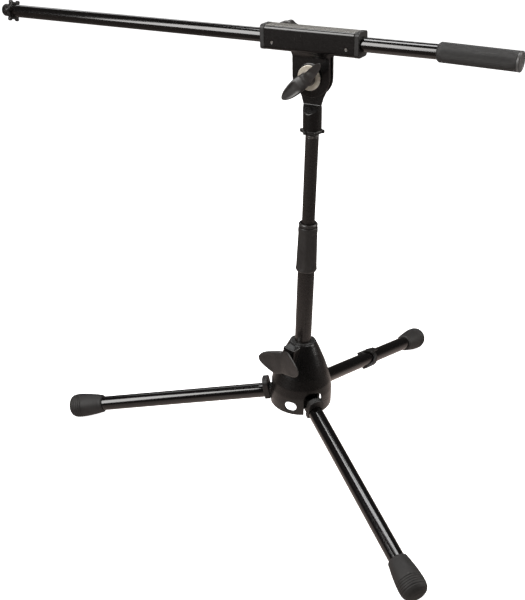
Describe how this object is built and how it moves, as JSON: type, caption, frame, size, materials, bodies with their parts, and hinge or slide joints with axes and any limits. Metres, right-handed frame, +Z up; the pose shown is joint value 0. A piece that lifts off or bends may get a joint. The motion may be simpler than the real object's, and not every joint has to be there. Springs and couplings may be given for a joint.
{
  "type": "boom microphone stand",
  "caption": "Low tripod stand with twist-clutch mast and a tilting, swivelling, sliding boom that holds a microphone on a threaded end opposite a weighted grip.",
  "frame": {"origin": "on the mast axis at floor level, where the three feet stand", "axes": "+Z up along the mast, -X towards the microphone end of the boom, +X towards the grip"},
  "size_m": [0.7351, 0.5358, 0.5695],
  "materials": {
    "cast_black": "satin black powder coat on a zinc casting",
    "tube_black": "gloss black enamel on steel tube",
    "mast_tube_black": "satin black enamel on steel tube",
    "knuckle_black": "satin black",
    "lock_ring_black": "satin black",
    "thread_black": "black oxide threaded steel",
    "neck_plastic": "fine texture",
    "bush_plastic": "fine texture",
    "knob_plastic": "fine moulded texture",
    "clip_plastic": "fine texture",
    "clutch_plastic": "satin",
    "inner_plastic": "natural",
    "fibre": "pressed fibre",
    "foot_rubber": "ribbed matte",
    "grip_rubber": "fine knurl, matte",
    "steel": "turned",
    "pin_steel": "turned",
    "disc_steel": "blasted",
    "brass": "turned"
  },
  "bodies": {
    "base": {"base_housing": "cast_black", "neck_bush": "neck_plastic", "clamp_pad": "brass", "leg_pivot_pins": "steel"},
    "base_clamp_knob": {"base_knob": "knob_plastic", "base_knob_screw": "steel"},
    "leg_left": {"leg_tube_left": "tube_black", "leg_knuckle_left": "knuckle_black", "leg_foot_left": "foot_rubber", "leg_rivet_left": "steel"},
    "leg_front": {"leg_tube_front": "tube_black", "leg_knuckle_front": "knuckle_black", "leg_foot_front": "foot_rubber", "leg_rivet_front": "steel"},
    "leg_rear": {"leg_tube_rear": "tube_black", "leg_knuckle_rear": "knuckle_black", "leg_foot_rear": "foot_rubber", "leg_rivet_rear": "steel"},
    "clip": {"storage_clip": "clip_plastic"},
    "lower_mast": {"lower_tube": "mast_tube_black", "lower_tube_foot_plug": "inner_plastic", "clutch_collar": "inner_plastic", "clutch_collet": "inner_plastic"},
    "clutch": {"clutch_sleeve": "clutch_plastic", "clutch_lip_ring": "clutch_plastic"},
    "upper_mast": {"upper_tube": "mast_tube_black", "upper_tube_end_bush": "inner_plastic", "mast_thread_stud": "steel"},
    "mast_ring": {"mast_lock_ring": "lock_ring_black"},
    "head": {"swivel_socket": "cast_black", "friction_washers": "fibre"},
    "boom_clamp": {"clamp_box": "cast_black", "end_bush_left": "bush_plastic", "end_bush_right": "bush_plastic", "bush_pins": "pin_steel", "clamp_shoe": "brass", "tilt_nut": "steel", "tilt_disc": "disc_steel"},
    "tilt_clamp_knob": {"tilt_knob": "knob_plastic", "tilt_bolt": "steel"},
    "boom_clamp_knob": {"boom_knob": "knob_plastic", "boom_knob_screw": "steel"},
    "boom": {"boom_tube": "tube_black", "mic_thread_stud": "thread_black", "counterweight": "steel", "grip_sleeve": "grip_rubber", "grip_end_cap": "grip_rubber"},
    "mic_ring": {"mic_lock_ring": "lock_ring_black"}
  },
  "joints": [
    {"name": "leg_fold_front", "type": "hinge", "parent": "base", "child": "leg_front", "pos_m": [0.02287, -0.01783, 0.07804], "axis": [0.6147, 0.7888, 0], "range_deg": [0, 75]},
    {"name": "leg_fold_left", "type": "hinge", "parent": "base", "child": "leg_left", "pos_m": [-0.02687, -0.0109, 0.07804], "axis": [0.3757, -0.9267, 0], "range_deg": [0, 75]},
    {"name": "leg_fold_rear", "type": "hinge", "parent": "base", "child": "leg_rear", "pos_m": [0.004, 0.02872, 0.07804], "axis": [-0.9904, 0.138, 0], "range_deg": [0, 75]},
    {"name": "mast_lift", "type": "slide", "parent": "base", "child": "lower_mast", "axis": [0, 0, 1], "range_m": [0, 0.0265]},
    {"name": "base_knob_turn", "type": "hinge", "parent": "base", "child": "base_clamp_knob", "pos_m": [-0.00832, -0.03913, 0.141], "axis": [-0.2079, -0.9781, 0], "range_deg": [0, 450]},
    {"name": "clip_slide", "type": "slide", "parent": "leg_rear", "child": "clip", "axis": [0.1348, 0.9678, -0.2128], "range_m": [-0.06, 0.078]},
    {"name": "clutch_turn", "type": "hinge", "parent": "lower_mast", "child": "clutch", "pos_m": [0, 0, 0.29], "axis": [0, 0, 1], "range_deg": [0, 180]},
    {"name": "mast_height", "type": "slide", "parent": "lower_mast", "child": "upper_mast", "axis": [0, 0, 1], "range_m": [-0.08, 0.055]},
    {"name": "mast_ring_turn", "type": "hinge", "parent": "upper_mast", "child": "mast_ring", "pos_m": [-0.00026, 0, 0.443], "axis": [-0.0366, 0, 0.9993], "continuous": true},
    {"name": "head_swivel", "type": "hinge", "parent": "upper_mast", "child": "head", "pos_m": [-0.00088, 0, 0.45998], "axis": [-0.0366, 0, 0.9993], "continuous": true},
    {"name": "boom_tilt", "type": "hinge", "parent": "head", "child": "boom_clamp", "pos_m": [-0.0026, 0, 0.5069], "axis": [0, 1, 0], "range_deg": [-50, 80]},
    {"name": "tilt_knob_turn", "type": "hinge", "parent": "boom_clamp", "child": "tilt_clamp_knob", "pos_m": [-0.0026, -0.01, 0.5069], "axis": [0, -1, 0], "range_deg": [0, 450]},
    {"name": "boom_knob_turn", "type": "hinge", "parent": "boom_clamp", "child": "boom_clamp_knob", "pos_m": [-0.04676, 0.015, 0.54568], "axis": [0, 1, 0], "range_deg": [0, 450]},
    {"name": "boom_slide", "type": "slide", "parent": "boom_clamp", "child": "boom", "axis": [0.9989, 0, 0.0468], "range_m": [-0.08, 0.37]},
    {"name": "mic_ring_turn", "type": "hinge", "parent": "boom", "child": "mic_ring", "pos_m": [-0.45581, 0, 0.52653], "axis": [0.9989, 0, 0.0468], "continuous": true}
  ],
  "couplings": [
    {"joint": "leg_fold_left", "follows": "leg_fold_front", "ratio": 1},
    {"joint": "leg_fold_rear", "follows": "leg_fold_front", "ratio": 1},
    {"joint": "mast_lift", "follows": "leg_fold_front", "m_per_rad": 0.02}
  ]
}
